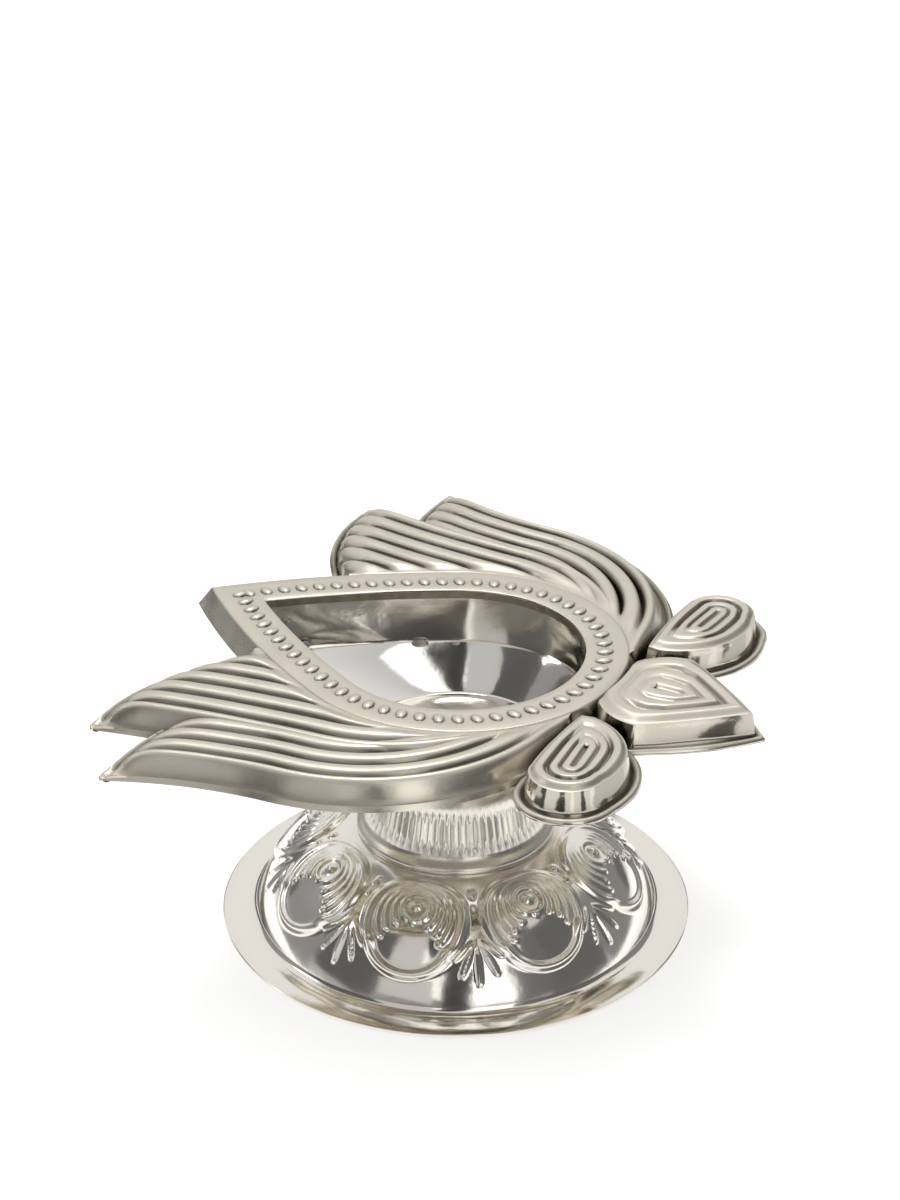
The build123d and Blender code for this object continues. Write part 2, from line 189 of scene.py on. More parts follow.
def stands_for(piece, slot, *nodes):
    """The piece replaces these nodes and moves with the lamp. Its slot is not used."""
    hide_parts(*nodes)
    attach(piece, "root")
    print(piece.name, "has", len(piece.data.polygons), "faces")


# %% [markdown]
# ## The mouth's outline
# Bowl, rim and beads all follow one teardrop: a round end and two long arcs that meet in the pouring lip.
# Growing it moves it outward everywhere, so one function draws the bowl's wall, the rim and the beads.

# %% Teardrop outline
SHEET = 0.6
FIT_GAP = 0.05
SIDE_RADIUS = 110.0
MOUTH_TIP_X = -27.2
SIDE_STEPS = 30
ROUND_STEPS = 46

wall_low, wall_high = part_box("bowl_wall")
WALL_OUTSIDE = 2 * SHEET + FIT_GAP
MOUTH_RADIUS = wall_high.y / MM - WALL_OUTSIDE
MOUTH_CENTRE_X = wall_high.x / MM - WALL_OUTSIDE - MOUTH_RADIUS
SIDE_REACH = SIDE_RADIUS - MOUTH_RADIUS
TIP_REACH = MOUTH_CENTRE_X - MOUTH_TIP_X
TURN = acos((SIDE_RADIUS**2 - TIP_REACH**2 - SIDE_REACH**2) / (2 * TIP_REACH * SIDE_REACH))
SIDE_CENTRE_X = MOUTH_CENTRE_X + SIDE_REACH * cos(TURN)
SIDE_CENTRE_Y = SIDE_REACH * sin(TURN)


def half_teardrop(grow):
    """Points from the tip along one side and round to the far end."""
    side = SIDE_RADIUS + grow
    tip_turn = asin(SIDE_CENTRE_Y / side)
    points = []
    for step in range(SIDE_STEPS):
        turn = tip_turn + (TURN - tip_turn) * step / SIDE_STEPS
        points.append((SIDE_CENTRE_X - side * cos(turn), side * sin(turn) - SIDE_CENTRE_Y))
    for step in range(ROUND_STEPS + 1):
        turn = TURN + (pi - TURN) * step / ROUND_STEPS
        end = MOUTH_RADIUS + grow
        points.append((MOUTH_CENTRE_X - end * cos(turn), end * sin(turn)))
    return points


def teardrop(grow, height):
    """The whole outline at a height, closed on its first point."""
    half = half_teardrop(grow)
    other = [(x, -y) for x, y in reversed(half[:-1])]
    return [(x, y, height) for x, y in half + other]


def growth_at(x, y):
    """How far outside the mouth's outline a point lies."""
    if atan2(abs(y), MOUTH_CENTRE_X - x) > TURN:
        return hypot(x - MOUTH_CENTRE_X, y) - MOUTH_RADIUS
    return hypot(x - SIDE_CENTRE_X, abs(y) + SIDE_CENTRE_Y) - SIDE_RADIUS


print("mouth radius", round(MOUTH_RADIUS, 2), "mm")

# %% [markdown]
# ## Dish of the bowl
# The bowl is a strip bent to the teardrop and a shallow dish soldered under it. The dish runs down to a
# round floor on the neck. Its rows blend from one outline to the other and bend softly where the slope
# meets the floor, because a pressed dish has no sharp corner there.

# %% Dish
FLOOR_RADIUS = 12.0
FLOOR_RINGS = (0.97, 0.9, 0.75, 0.5, 0.25, 0.0)
# Share of the way from the rim to the floor, and share of the height left there
SLOPE = ((0.0, 1.0), (0.04, 0.97), (0.25, 0.76), (0.5, 0.5), (0.75, 0.25))
SLOPE += ((0.88, 0.12), (0.96, 0.045), (1.0, 0.015))
SHEET_CREASE = 40

DISH_TOP = wall_low.z / MM
DECK_UNDER = wall_high.z / MM
FLOOR_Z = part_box("bowl_dish")[0].z / MM + SHEET


def floor_circle(radius):
    """Points round the floor that match the teardrop's points one for one."""
    meet = half_teardrop(0)[SIDE_STEPS]
    bearing = atan2(meet[1], meet[0])
    turns = [pi + (bearing - pi) * step / SIDE_STEPS for step in range(SIDE_STEPS)]
    turns += [bearing - bearing * step / ROUND_STEPS for step in range(ROUND_STEPS + 1)]
    half = [(radius * cos(turn), radius * sin(turn)) for turn in turns]
    return half + [(x, -y) for x, y in reversed(half[:-1])]


def dish_side(grow, drop):
    """Rows from the dish's rim down its slope and over the floor to the middle."""
    rim = teardrop(FIT_GAP + SHEET + grow, 0)
    floor = floor_circle(FLOOR_RADIUS + grow)
    depth = DISH_TOP - FLOOR_Z
    rows = []
    for share, height in SLOPE:
        level = FLOOR_Z + height * depth - drop * (1 - height)
        row = []
        for (rim_x, rim_y, _), (x, y) in zip(rim, floor):
            row.append((rim_x + (x - rim_x) * share, rim_y + (y - rim_y) * share, level))
        rows.append(row)
    for share in FLOOR_RINGS:
        rows.append([(x * share, y * share, FLOOR_Z - drop) for x, y in floor])
    return rows


bowl_dish = laid("bowl_dish_pressing", dish_side(0, 0)[::-1] + dish_side(SHEET, SHEET))
smooth(bowl_dish, SHEET_CREASE)
stands_for(bowl_dish, "polished_white_metal", "bowl_dish")

# %% [markdown]
# ## Wall of the bowl
# The strip stands on the dish's rim. It leans in by a hair, as a hand-bent strip does, and its lower edge
# is eased, so the seam shows as a fine line. A section carried round the teardrop gives one closed ring.

# %% Wall
WALL_INSIDE = SHEET + FIT_GAP
SEAM_GROOVE = 0.15
WALL_LEAN = 0.28
WALL_SECTION = (
    (WALL_INSIDE + WALL_LEAN + SEAM_GROOVE, DISH_TOP),
    (WALL_INSIDE + WALL_LEAN, DISH_TOP + SEAM_GROOVE),
    (WALL_INSIDE - WALL_LEAN, DECK_UNDER),
    (WALL_OUTSIDE, DECK_UNDER),
    (WALL_OUTSIDE, DISH_TOP),
    (WALL_INSIDE + WALL_LEAN + SEAM_GROOVE, DISH_TOP),
)
bowl_wall = laid("bowl_wall_strip", [teardrop(grow, height) for grow, height in WALL_SECTION])
smooth(bowl_wall, SHEET_CREASE)
stands_for(bowl_wall, "polished_white_metal", "bowl_wall")

# %% [markdown]
# ## Neck
# The neck is a small trumpet: a plain ring at its foot, a band of fine upright flutes and a plain flare
# that meets the bowl. It is turned as a plain trumpet first, and the flutes come after.

# %% Neck
FLUTES = 68
FLUTE_COLUMNS = 4
FLUTE_LOW = 13.9
FLUTE_HIGH = 19.5
FLUTE_LOW_RADIUS = 11.4
FLUTE_HIGH_RADIUS = 10.0
FLUTE_ROWS = 9
FLARE_STEPS = 6
FLARE_CURVE = 1.6
COLLAR_WALL = 0.9
COLLAR_FOOTING = 1.2
COLLAR_TOP_RADIUS = 11.6
# How far in from the ring's face, and how far up from its foot
RING_OUTLINE = ((0.15, 0), (0, 0.15), (0, 0.65), (0.2, 0.9), (0.6, 1.2))
RING_COVE = (0.1, 1.6)

neck_low, neck_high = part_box("neck_collar")
COLLAR_RADIUS = neck_high.x / MM
COLLAR_BASE = neck_low.z / MM
COLLAR_TOP = neck_high.z / MM


def flute_radius(height):
    share = (height - FLUTE_LOW) / (FLUTE_HIGH - FLUTE_LOW)
    return FLUTE_LOW_RADIUS + share * (FLUTE_HIGH_RADIUS - FLUTE_LOW_RADIUS)


ring = [(COLLAR_RADIUS - inward, COLLAR_BASE + up) for inward, up in RING_OUTLINE]
ring.append((FLUTE_LOW_RADIUS + RING_COVE[0], COLLAR_BASE + RING_COVE[1]))
heights = [FLUTE_LOW + (FLUTE_HIGH - FLUTE_LOW) * row / FLUTE_ROWS for row in range(FLUTE_ROWS + 1)]
band = [(flute_radius(height), height) for height in heights]
flare = []
for step in range(1, FLARE_STEPS + 1):
    share = step / FLARE_STEPS
    widening = (COLLAR_TOP_RADIUS - FLUTE_HIGH_RADIUS) * share**FLARE_CURVE
    flare.append((FLUTE_HIGH_RADIUS + widening, FLUTE_HIGH + (COLLAR_TOP - FLUTE_HIGH) * share))
bore = [
    (COLLAR_TOP_RADIUS - COLLAR_WALL, COLLAR_TOP),
    (FLUTE_HIGH_RADIUS - COLLAR_WALL, FLUTE_HIGH),
    (FLUTE_LOW_RADIUS - COLLAR_WALL, FLUTE_LOW),
    (COLLAR_RADIUS - COLLAR_FOOTING, COLLAR_BASE),
]
neck = turned("fluted_neck", ring + band + flare + bore, FLUTES * FLUTE_COLUMNS)
print("neck height", round(COLLAR_TOP - COLLAR_BASE, 1), "mm")

# %% [markdown]
# ### Flutes
# A boolean could cut the flutes, but leaves rough edges. Here the vertices along each flute are picked by
# their bearing and drawn in towards the axis, less at the two ends, so every flute runs out to a point.

# %% Flutes
FLUTE_DEPTH = 0.3
FLUTE_END = 1.0
# A column of a flute's vertices, and its share of the depth
FLUTE_HOLLOW = ((1, 0.4), (2, 1.0), (3, 0.4))
NEAR = 0.01
WORKED_CREASE = 50

mode("EDIT")
for column, share in FLUTE_HOLLOW:
    for height in heights[1:-1]:
        mesh = bmesh.from_edit_mesh(neck.data)
        near_end = min(height - FLUTE_LOW, FLUTE_HIGH - height) / FLUTE_END
        depth = FLUTE_DEPTH * share * min(1, near_end)
        for vertex in mesh.verts:
            x, y, z = vertex.co / MM
            step = round(atan2(y, x) / (2 * pi) * FLUTES * FLUTE_COLUMNS) % FLUTE_COLUMNS
            on_band = abs(z - height) < NEAR and hypot(x, y) > flute_radius(height) - NEAR
            vertex.select_set(step == column and on_band)
        mesh.select_flush_mode()
        bmesh.update_edit_mesh(neck.data)
        pull = 1 - depth / flute_radius(height)
        bpy.ops.transform.resize(value=(pull, pull, 1), center_override=(0, 0, 0))
mode("OBJECT")
smooth(neck, WORKED_CREASE)
stands_for(neck, "polished_white_metal", "neck_collar")

# %% [markdown]
# ## Foot
# The foot is a round sheet domed up over a stake, with a flat flange to stand on and a flat land for the
# neck. The dome is an arc between the two, so its middle and radius follow from how far it bulges.

# %% Arc of the dome
DOME_RADIUS = 25.8
DOME_BULGE = 2.1
DOME_START = 1.1
LAND_RADIUS = 13.2

foot_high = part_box("foot_dome")[1]
FOOT_RADIUS = foot_high.x / MM
LAND_HEIGHT = foot_high.z / MM
DOME_CHORD = hypot(DOME_RADIUS - LAND_RADIUS, LAND_HEIGHT - SHEET)
DOME_ARC = (DOME_CHORD**2 / 4 + DOME_BULGE**2) / (2 * DOME_BULGE)
DOME_LEAN = atan2(LAND_HEIGHT - SHEET, DOME_RADIUS - LAND_RADIUS)
ARC_CENTRE_R = (DOME_RADIUS + LAND_RADIUS) / 2 - (DOME_ARC - DOME_BULGE) * sin(DOME_LEAN)
ARC_CENTRE_Z = (LAND_HEIGHT + SHEET) / 2 - (DOME_ARC - DOME_BULGE) * cos(DOME_LEAN)
ARC_TOP = atan2(LAND_HEIGHT - ARC_CENTRE_Z, LAND_RADIUS - ARC_CENTRE_R)
ARC_FOOT = asin((DOME_START - ARC_CENTRE_Z) / DOME_ARC)


def dome_point(turn, grow):
    reach = DOME_ARC + grow
    return (ARC_CENTRE_R + reach * cos(turn), ARC_CENTRE_Z + reach * sin(turn))


def ridge(distance, half_width, height):
    """Height of a rounded ridge at a distance from its middle line."""
    share = distance / half_width
    return height * (1 - share * share) ** 2 if abs(share) < 1 else 0.0


def fade(value, low, high):
    """0 below one value, 1 above another and a smooth rise between."""
    share = min(1, max(0, (value - low) / (high - low)))
    return share * share * (3 - 2 * share)


print("dome radius", round(DOME_ARC, 1), "mm")

# %% [markdown]
# ### Medallions
# Eight medallions are chased into the dome: rings fanned round a small boss, a plain mirror in the lower
# half with a raised rim, and a row of teeth over it. Each is a height over the dome, because punches leave
# soft edges and hollows that run into each other.

# %% Medallion
SWELL = 0.5
SWELL_REACH = 7.0
BOSS_UP = 2.6
BOSS = (1.0, 0.36)
# Radius, height of the middle, half width and height of each ring
RINGS = (
    (1.8, 2.3, 0.48, 0.26),
    (2.75, 1.9, 0.46, 0.22),
    (3.7, 1.4, 0.46, 0.22),
    (4.7, 0.75, 0.5, 0.22),
    (6.1, 0.0, 0.85, 0.42),
)
RING_ENDS = (-1.2, 0.4)
RING_END_DROP = 0.45
MIRROR_UP = -2.3
MIRROR_WIDE = 3.6
MIRROR_TALL = 2.6
MIRROR_EDGE = (1.0, 1.25)
MIRROR_RIM_AT = 1.4
MIRROR_RIM = (0.3, 0.42)
MIRROR_RIM_BELOW = (1.7, 2.9)
TOOTH_TURNS = (8, 32, 58, 90, 122, 148, 172)
TOOTH_AT = 1.06
TOOTH = (0.5, 0.36)


def mirror_at(across, up):
    """1 along the edge of a medallion's plain mirror, less inside it and more outside."""
    return hypot(across / MIRROR_WIDE, (up - MIRROR_UP) / MIRROR_TALL)


def medallion(across, up):
    """Height of one medallion at a place measured from its middle."""
    tall = SWELL * max(0, 1 - (hypot(across, up) / SWELL_REACH) ** 2)
    mirror = mirror_at(across, up)
    beside = fade(mirror, *MIRROR_EDGE)
    for radius, middle, half_width, height in RINGS:
        share = beside * fade(up + radius * RING_END_DROP, *RING_ENDS)
        tall += share * ridge(hypot(across, up - middle) - radius, half_width, height)
    tall += ridge(hypot(across, up - BOSS_UP), *BOSS)
    tall += ridge(mirror - MIRROR_RIM_AT, *MIRROR_RIM) * fade(-up, *MIRROR_RIM_BELOW)
    for turn in TOOTH_TURNS:
        tooth_x = MIRROR_WIDE * TOOTH_AT * cos(radians(turn))
        tooth_y = MIRROR_UP + MIRROR_TALL * TOOTH_AT * sin(radians(turn))
        tall += ridge(hypot(across - tooth_x, up - tooth_y), *TOOTH)
    return tall


print("medallion:", len(RINGS), "rings")

# %% [markdown]
# ### Sprays
# Between two medallions hangs a spray of long drops with two pellets over it. A drop is a ridge along a
# leaning line, which widens towards its end and is rounded off there.

# %% Spray
# Lean in degrees, and length
DROPS = ((-48, 4.2), (-25, 5.4), (0, 6.0), (25, 5.4), (48, 4.2))
DROPS_FROM = -1.0
DROP_HALF_WIDTH = 0.5
DROP_EDGE = 0.08
DROP_HEIGHT = 0.3
DROP_RISE = (0.05, 0.5)
# Place up the dome, stretch along it, half width and height
PELLETS = ((4.8, 1.6, 0.55, 0.35), (2.9, 1.0, 0.4, 0.3))


def spray(across, up):
    """Height of the hanging drops and the small pellets between two medallions."""
    tall = 0.0
    for turn, length in DROPS:
        along = (DROPS_FROM - up) * cos(radians(turn)) + across * sin(radians(turn))
        aside = across * cos(radians(turn)) - (DROPS_FROM - up) * sin(radians(turn))
        share = along / length
        if 0 < share < 1:
            width = DROP_HALF_WIDTH * sqrt(share) * sqrt(1 - share**4)
            tall = max(tall, ridge(aside, width + DROP_EDGE, DROP_HEIGHT * fade(share, *DROP_RISE)))
    for place, stretch, half_width, height in PELLETS:
        tall = max(tall, ridge(hypot(across, (up - place) / stretch), half_width, height))
    return tall


print("spray:", len(DROPS), "drops")

# %% [markdown]
# ### Chasing
# The foot is turned with a fine mesh, and each vertex of the dome is pushed out by the height of the
# chasing there. Punched metal loses its mirror, so each vertex also keeps how far it was worked, for the
# finish to read.

# %% Foot
FOOT_HOLE_RADIUS = 9.0
MEDALLIONS = 8
MEDALLION_PHASE = radians(12)
MEDALLION_FROM_LAND = 7.4
DOME_ROWS = 84
DOME_STEPS = MEDALLIONS * 76
LINING_ROWS = 12
LAND_EDGE = (0.05, 0.7)
PUNCHED = (0.04, 0.16)
MIRROR_KEPT = (0.9, 1.15)
UPPER_DULL = (3.0, 4.5)


def chased(place):
    """Where a vertex of the plain dome ends up, and how far the punch has dulled it."""
    x, y, z = place / MM
    radius = hypot(x, y)
    turn = atan2(z - ARC_CENTRE_Z, radius - ARC_CENTRE_R)
    if abs(hypot(radius - ARC_CENTRE_R, z - ARC_CENTRE_Z) - DOME_ARC) > NEAR:
        return place, 0.0
    from_land = (ARC_TOP - turn) * DOME_ARC
    up = MEDALLION_FROM_LAND - from_land
    share = 2 * pi / MEDALLIONS
    bearing = (atan2(y, x) - MEDALLION_PHASE + share / 2) % share - share / 2
    edge = share / 2 - abs(bearing)
    tall = max(medallion(bearing * radius, up), spray(edge * radius, up)) * fade(from_land, *LAND_EDGE)
    new_radius, height = dome_point(turn, tall)
    worked = fade(tall, *PUNCHED) * fade(mirror_at(bearing * radius, up), *MIRROR_KEPT)
    worked = max(worked, fade(up, *UPPER_DULL))
    return Vector((x * new_radius / radius, y * new_radius / radius, height)) * MM, worked


flange = [
    (FOOT_RADIUS - 0.25, 0),
    (FOOT_RADIUS, 0.15),
    (FOOT_RADIUS, 0.45),
    (FOOT_RADIUS - 0.2, SHEET),
    (DOME_RADIUS + 0.9, SHEET),
    (DOME_RADIUS + 0.5, 0.66),
    (DOME_RADIUS + 0.15, 0.85),
]
dome = [dome_point(ARC_FOOT + (ARC_TOP - ARC_FOOT) * row / DOME_ROWS, 0) for row in range(DOME_ROWS + 1)]
lining_turns = [ARC_TOP + (ARC_FOOT - ARC_TOP) * row / LINING_ROWS for row in range(LINING_ROWS + 1)]
lining = [dome_point(turn, -SHEET) for turn in lining_turns]
land = [(FOOT_HOLE_RADIUS, LAND_HEIGHT), (FOOT_HOLE_RADIUS, LAND_HEIGHT - SHEET)]
foot = turned("chased_foot", flange + dome + land + lining, DOME_STEPS)
dulled = foot.data.attributes.new("dulled", "FLOAT", "POINT")
for vertex in foot.data.vertices:
    vertex.co, dulled.data[vertex.index].value = chased(vertex.co)
smooth(foot, WORKED_CREASE)
stands_for(foot, "polished_white_metal", "foot_dome")

# %% [markdown]
# ## Rim of the lotus
# The pressed top starts with a flat rim round the bowl's mouth. Its section is a list of places carried
# round the teardrop: lip, top, sloping outer wall and the sheet's underside, in one closed ring.

# %% Rim
DECK_WIDTH = 5.3
DECK_DRAFT = 1.5
LIP_DROP = 1.2

lotus_low, lotus_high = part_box("lotus_shell")
FLANGE_UNDER = lotus_low.z / MM
FLANGE_TOP = FLANGE_UNDER + SHEET
DECK_TOP = DECK_UNDER + SHEET
SKIRT_EDGE = DECK_WIDTH + DECK_DRAFT

RIM_SECTION = (
    (0.0, DECK_TOP - LIP_DROP),
    (0.0, DECK_TOP - 0.25),
    (0.08, DECK_TOP - 0.07),
    (0.25, DECK_TOP),
    (1.2, DECK_TOP),
    (2.4, DECK_TOP - 0.08),
    (3.6, DECK_TOP),
    (DECK_WIDTH - 0.25, DECK_TOP),
    (DECK_WIDTH - 0.05, DECK_TOP - 0.06),
    (DECK_WIDTH + 0.1, DECK_TOP - 0.25),
    (SKIRT_EDGE - 0.15, FLANGE_UNDER + 0.3),
    (SKIRT_EDGE, FLANGE_UNDER + 0.1),
    (SKIRT_EDGE - 0.1, FLANGE_UNDER),
    (SKIRT_EDGE - 0.7, FLANGE_UNDER),
    (DECK_WIDTH - 0.5, DECK_UNDER),
    (SHEET, DECK_UNDER),
    (SHEET, DECK_TOP - LIP_DROP),
    (0.0, DECK_TOP - LIP_DROP),
)
rim = laid("rim", [teardrop(grow, height) for grow, height in RIM_SECTION])
smooth(rim, SHEET_CREASE)
print("rim:", DECK_WIDTH, "mm wide")

# %% [markdown]
# ### Beads
# The row of stitch-like beads is one ball, stretched across the rim and copied along it at an even pitch,
# each copy leaning a little out of line. A ball has few faces, since there are dozens of them.

# %% Beads
BEAD_LINE = 2.4
BEAD_SINK = 0.1
BEAD_PITCH = 2.25
BEAD_SIZE = (0.74, 1.15, 0.42)
BEAD_LEAN = radians(16)
BALL_CREASE = 80

deselect()
bpy.ops.mesh.primitive_uv_sphere_add(segments=12, ring_count=8, radius=MM)
bead = named("bead")
bpy.ops.transform.resize(value=BEAD_SIZE)
bpy.ops.object.transform_apply(location=False, rotation=False, scale=True)
smooth(bead, BALL_CREASE)
line = [Vector(point) * MM for point in teardrop(BEAD_LINE, DECK_TOP - BEAD_SINK)]
beads = []
travelled = BEAD_PITCH * MM / 2
for here, there in zip(line, line[1:]):
    run = there - here
    while travelled < run.length:
        copy = bead.copy()
        copy.data = bead.data.copy()
        bpy.context.collection.objects.link(copy)
        copy.location = here + run * (travelled / run.length)
        copy.rotation_euler.z = atan2(run.y, run.x) + BEAD_LEAN
        beads.append(copy)
        travelled += BEAD_PITCH * MM
    travelled -= run.length
bpy.data.objects.remove(bead)
print(len(beads), "beads")

# %% [markdown]
# ## Lines of the wings
# Each side has an inner and an outer petal, pressed into long round ribs with narrow grooves between. The
# ribs run parallel: round an arc to the root beside the sepals, and along a flatter arc to a blunt end. So
# a place on a petal is an inset from its outer edge and a station along it.

# %% Lines of the wings
BEND_X = -4.0
BEND_LEAN = radians(3)
ROOT_SWEEP = radians(100)
SETTLING = 4
# A petal's end: its x, how fast it is drawn back towards the rim, and the y where that starts
INNER_END = (-30.0, 0.026, -29.0)
OUTER_END = (-22.4, 0.02, -37.0)


def petal_end(y, level, drawn_back, start):
    return level + drawn_back * max(0, y - start) ** 2


def along_petal(inset, station, end_shift, edge_y, fore_radius, back_radius, end):
    """A place in plan on a petal's line, from station -1 at the root through 0 to 1 at the end."""
    bend = Vector((BEND_X, edge_y))
    inward = Vector((-sin(BEND_LEAN), cos(BEND_LEAN)))
    if station < 0:
        centre = bend + inward * fore_radius
        turn = BEND_LEAN - pi / 2 - station * ROOT_SWEEP
        return centre + Vector((cos(turn), sin(turn))) * (fore_radius - inset)
    centre = bend - inward * back_radius
    reach = back_radius + inset
    start_x = centre.x + reach * cos(BEND_LEAN + pi / 2)
    y = edge_y + inset
    for _ in range(SETTLING):
        x = start_x + (petal_end(y, *end) + end_shift - start_x) * station
        turn = acos((x - centre.x) / reach)
        y = centre.y + reach * sin(turn)
    return Vector((x, y))


print("petals end at x", INNER_END[0], OUTER_END[0])

# %% [markdown]
# ## Surface of the wings
# A grid is laid on those lines. Its height comes from the distance to the petal's edge and end, where the
# sheet rolls down to its flange, and from the ribs, which waver a little and die away at both ends. It
# runs in flush beside the rim and is cut off under it. Solidify then gives the sheet its thickness.

# %% Petals
FLANGE_WIDTH = 1.3
RIB_DEPTH = 1.35
RIB_BACK = 0.3
RIB_AT_ROOT = 0.3
RIB_GROWS = (-0.95, -0.5)
RIB_AT_END = 0.25
WAVER = 0.12
WAVER_ALONG = 8
WAVER_ACROSS = 2.1
ROOT_STEPS = 44
END_STEPS = 24
ACROSS_STEP = 0.2
SCALLOP = 0.7
RIM_LAP = 2.4
ROLL_LENGTH = 5.0
ROLL_LEAD = 0.3
FLUSH_DROP = 0.06
FLUSH_REACH = (0.3, 2.2)
FLUSH_OVER = 1
TUCK_DROP = 0.2
TUCK_REACH = (-0.7, -0.1)
PETAL_CREASE = 60
# Distance from the end or the edge, and share of the petal's height there
END_ROLL = ((5.0, 1.0), (4.0, 0.975), (3.1, 0.92), (2.3, 0.845), (1.6, 0.74), (1.0, 0.61))
END_ROLL += ((0.5, 0.44), (0.1, 0.22), (-0.15, 0.05))
FLANGE_ROLL = ((-0.3, -0.08), (-0.6, 0.1), (-0.9, 0.14), (-1.15, 0.0), (-1.3, -0.25))
EDGE_ROLL = ((0.0, 0.05), (0.3, 0.26), (0.7, 0.54), (1.05, 0.78), (1.35, 0.92), (1.65, 0.99))


def rib_drop(inset, ribs, pitch):
    """How far below the crest a rib's surface lies: a broad round back and steep sides."""
    if inset < 0.5 * pitch or inset > ribs * pitch:
        return 0.0
    off = abs(2 * (inset / pitch % 1) - 1)
    return RIB_DEPTH * (RIB_BACK * off**2 + (1 - RIB_BACK) * off**5)


def petal_line(inset, drop, plan):
    """Places along one line of a petal, each with its shares of the height and of the ribs' depth."""
    stations = [step / ROOT_STEPS - 1 for step in range(ROOT_STEPS)]
    stations += [step / END_STEPS for step in range(END_STEPS)]
    places = []
    for station in stations:
        waver = WAVER * sin(WAVER_ALONG * station + WAVER_ACROSS * inset)
        ribbed = RIB_AT_ROOT + (1 - RIB_AT_ROOT) * fade(station, *RIB_GROWS) + waver
        places.append((along_petal(inset, station, ROLL_LENGTH + ROLL_LEAD, **plan), 1.0, ribbed))
    notch = SCALLOP * drop / RIB_DEPTH
    for beyond, share in END_ROLL + FLANGE_ROLL:
        ribbed = RIB_AT_END + (1 - RIB_AT_END) * fade(beyond, 0.0, ROLL_LENGTH)
        past = hypot(min(0, inset), min(0, beyond)) / FLANGE_WIDTH
        rounding = min(1, 1 / past) if past else 1
        shift = beyond * rounding if beyond < 0 else beyond + notch
        places.append((along_petal(inset * rounding, 1.0, shift, **plan), share, ribbed))
    return places


def beside_rim(place, height):
    """Height of a petal's surface where it runs in to the rim and under it."""
    outside_rim = growth_at(place.x, place.y) - DECK_WIDTH
    if height > FLANGE_TOP + FLUSH_OVER:
        height += (DECK_TOP - FLUSH_DROP - height) * (1 - fade(outside_rim, *FLUSH_REACH))
    tucked = height + (DECK_UNDER - TUCK_DROP - height) * (1 - fade(outside_rim, *TUCK_REACH))
    return min(height, tucked)


def petal(name, side, ribs, pitch, plateau, **plan):
    """One petal of the near side, or of the far side where side is -1."""
    width = ribs * pitch
    edge = FLANGE_ROLL[::-1] + EDGE_ROLL
    insets = [inset for inset, _ in edge]
    steps = round((width - insets[-1]) / ACROSS_STEP)
    insets += [insets[-1] + (width - insets[-1]) * (step + 1) / steps for step in range(steps)]
    edge_share = dict(edge)
    rows = []
    for inset in insets:
        rise = edge_share.get(inset, 1.0)
        drop = rib_drop(inset, ribs, pitch)
        row = []
        for place, share, ribbed in petal_line(inset, drop, plan):
            tall = (plateau - FLANGE_TOP - drop * ribbed) * max(0, rise) * max(0, share)
            height = beside_rim(place, FLANGE_TOP + tall + min(0, rise) + min(0, share))
            row.append((place.x, place.y * side, height))
        rows.append(row)
    piece = laid(name, rows)
    face_up(piece)
    for face in piece.data.polygons:
        x, y, _ = face.center / MM
        face.select = growth_at(x, y) < RIM_LAP
    mode("EDIT")
    bpy.ops.mesh.delete(type="FACE")
    mode("OBJECT")
    thicken(piece, SHEET)
    smooth(piece, PETAL_CREASE)
    return piece


# %% [markdown]
# ## Wings of the lotus
# The inner petal is the wider one and stands a little higher. The far side is the same pair with its y
# turned round, because the two halves of the lotus mirror each other.

# %% Wings
INNER_PETAL = dict(ribs=7, pitch=3.0, edge_y=-29.0, fore_radius=22.8, back_radius=150.0, end=INNER_END)
OUTER_PETAL = dict(ribs=4, pitch=2.7, edge_y=-37.2, fore_radius=25.8, back_radius=52.0, end=OUTER_END)
INNER_TOP = DECK_TOP + 0.4
OUTER_TOP = DECK_TOP + 0.25

wings = []
for side, word in ((1, "near"), (-1, "far")):
    wings.append(petal("inner_petal_" + word, side, plateau=INNER_TOP, **INNER_PETAL))
    wings.append(petal("outer_petal_" + word, side, plateau=OUTER_TOP, **OUTER_PETAL))
print("wings:", [wing.name for wing in wings])

# %% [markdown]
# ## Outlines of the sepals
# Three sepals stand at the back: a pointed one in the middle and a blunt tongue at each side. Their
# outlines are arcs through a few places, as a compass draws them. A side sepal is drawn along its own
# length and turned to its place later.

# %% Outlines of the sepals
SIDE_ROOT = (22.0, 9.0)
SIDE_BEARING = radians(80)
SIDE_INNER_ROOT = (0, -0.8)
SIDE_OUTER_ROOT = (0, 0.8)
SIDE_INNER_MID = (7.5, -2.9)
SIDE_INNER_END = (14.0, -3.7)
SIDE_TIP = (18.3, 0.8)
SIDE_OUTER_END = (14.5, 6.0)
SIDE_OUTER_MID = (8.0, 7.2)
MIDDLE_ROOT = (20.8, 4.6)
MIDDLE_HAUNCH = (23.4, 8.0)
MIDDLE_WIDEST = (27.5, 9.4)
MIDDLE_FLANK = (33.6, 5.2)
MIDDLE_TIP = (39.4, 0.0)


def arc_through(start, middle, end, steps):
    """Points along the circle through three places, without the last."""
    a, b, c = (complex(*place) for place in (start, middle, end))
    ratio = (c - a) / (b - a)
    centre = a + (b - a) * (ratio - abs(ratio) ** 2) / (2j * ratio.imag)
    sweep = phase((c - centre) / (a - centre))
    spots = [centre + (a - centre) * rect(1, sweep * step / steps) for step in range(steps)]
    return [(spot.real, spot.imag) for spot in spots]


def line_to(start, end, steps):
    """Points along a straight edge, without the last."""
    return [tuple(Vector(start).lerp(Vector(end), step / steps)) for step in range(steps)]


def mirrored(point):
    return (point[0], -point[1])


